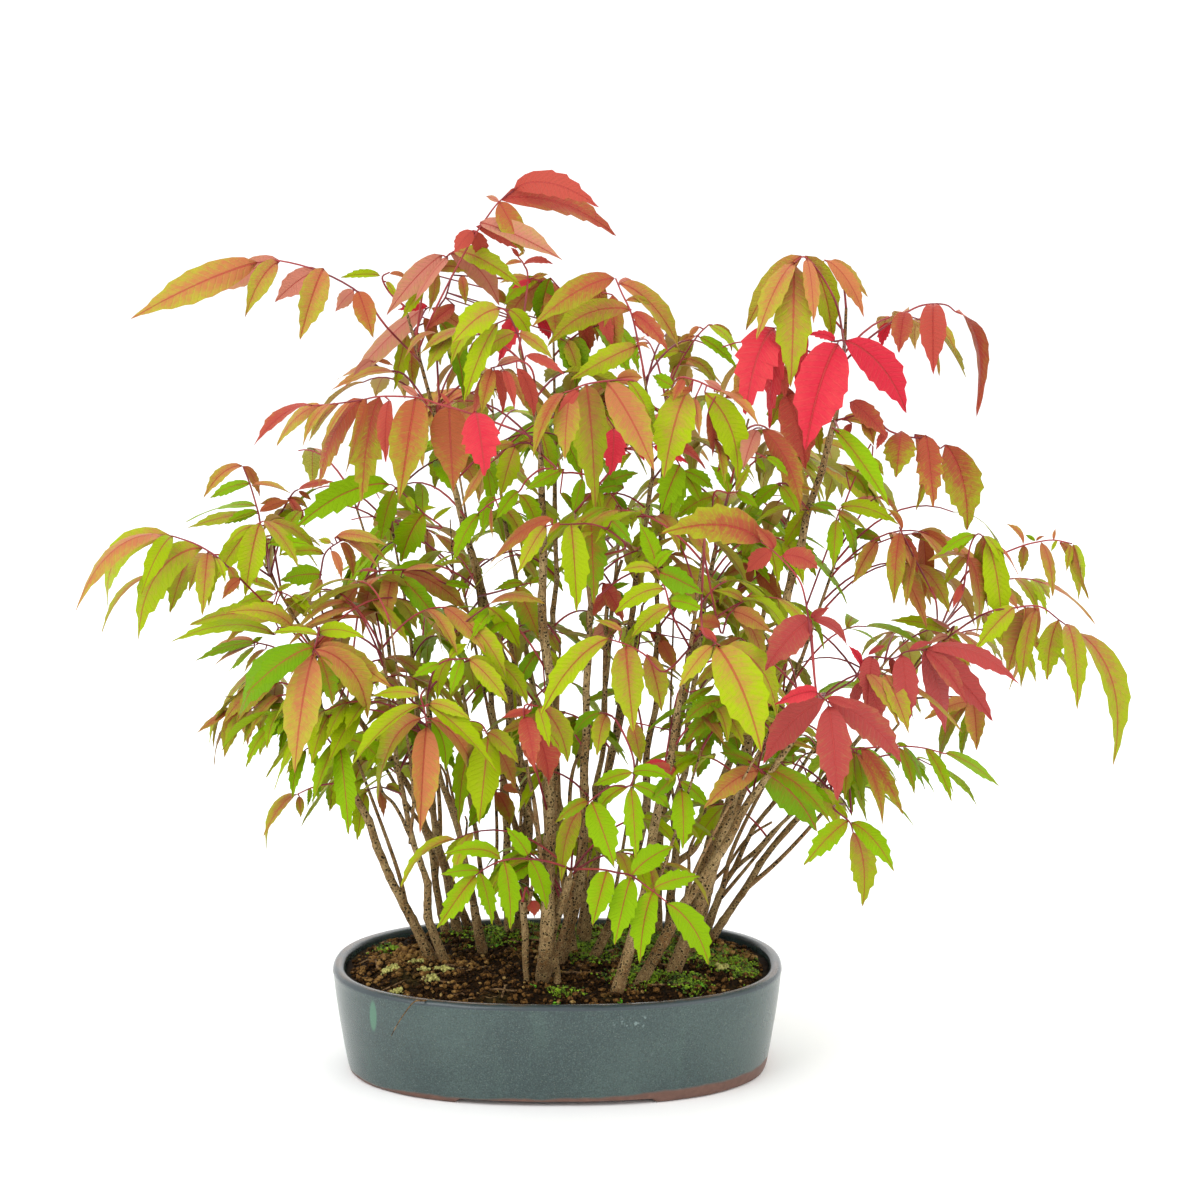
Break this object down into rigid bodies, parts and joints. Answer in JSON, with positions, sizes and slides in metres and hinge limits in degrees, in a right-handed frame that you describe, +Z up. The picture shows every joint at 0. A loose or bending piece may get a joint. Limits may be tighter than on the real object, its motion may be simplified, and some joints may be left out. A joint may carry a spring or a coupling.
{
  "type": "japanese wax tree bonsai in an oval pot",
  "caption": "Clump of slender leaning stems with open sprays of long pointed leaflets in green, bronze and scarlet, growing in a shallow oval glazed pot.",
  "frame": {"origin": "on the surface that the pot stands on, under the middle of the whole plant's box", "axes": "+Z up, +X along the pot's length to the right as seen from the front, -Y towards the front"},
  "size_m": [0.5634, 0.3597, 0.4871],
  "materials": {
    "glaze": "blue-grey glaze, half gloss",
    "soil": "dark moist granular soil",
    "bark": "rough brown bark",
    "plum": "purple-bronze autumn leaves",
    "bronze": "bronze-red autumn leaves",
    "scarlet": "scarlet autumn leaves",
    "rose": "dark rose-red autumn leaves",
    "copper": "orange-bronze autumn leaves",
    "olive": "olive-green leaves, reddening",
    "lime": "yellow-green leaves",
    "green": "bright green leaves"
  },
  "bodies": {
    "root": {"pot": "glaze", "soil": "soil", "stem_01": "bark", "stem_02": "bark", "stem_03": "bark", "stem_04": "bark", "stem_05": "bark", "stem_06": "bark", "stem_07": "bark", "stem_08": "bark", "stem_09": "bark", "stem_10": "bark", "stem_11": "bark", "stem_12": "bark", "stem_13": "bark", "stem_14": "bark", "stem_15": "bark", "stem_16": "bark", "stem_17": "bark", "stem_18": "bark", "stem_19": "bark", "stem_20": "bark", "stem_21": "bark", "stem_22": "bark", "stem_23": "bark", "stem_24": "bark", "stem_25": "bark", "stem_26": "bark", "stem_27": "bark", "stem_28": "bark", "foliage_08": "plum", "foliage_10": "bronze", "foliage_16": "scarlet", "foliage_03": "olive", "foliage_28": "olive", "foliage_15": "rose", "foliage_05": "lime", "foliage_01": "olive", "foliage_13": "olive", "foliage_12": "green", "foliage_14": "lime", "foliage_25": "lime", "foliage_17": "copper", "foliage_18": "rose", "foliage_19": "green", "foliage_02": "copper", "foliage_04": "green", "foliage_07": "green", "foliage_11": "olive", "foliage_20": "copper", "foliage_21": "bronze", "foliage_22": "green", "foliage_06": "green", "foliage_23": "green", "foliage_24": "copper", "foliage_26": "olive", "foliage_27": "olive"}
  },
  "joints": []
}
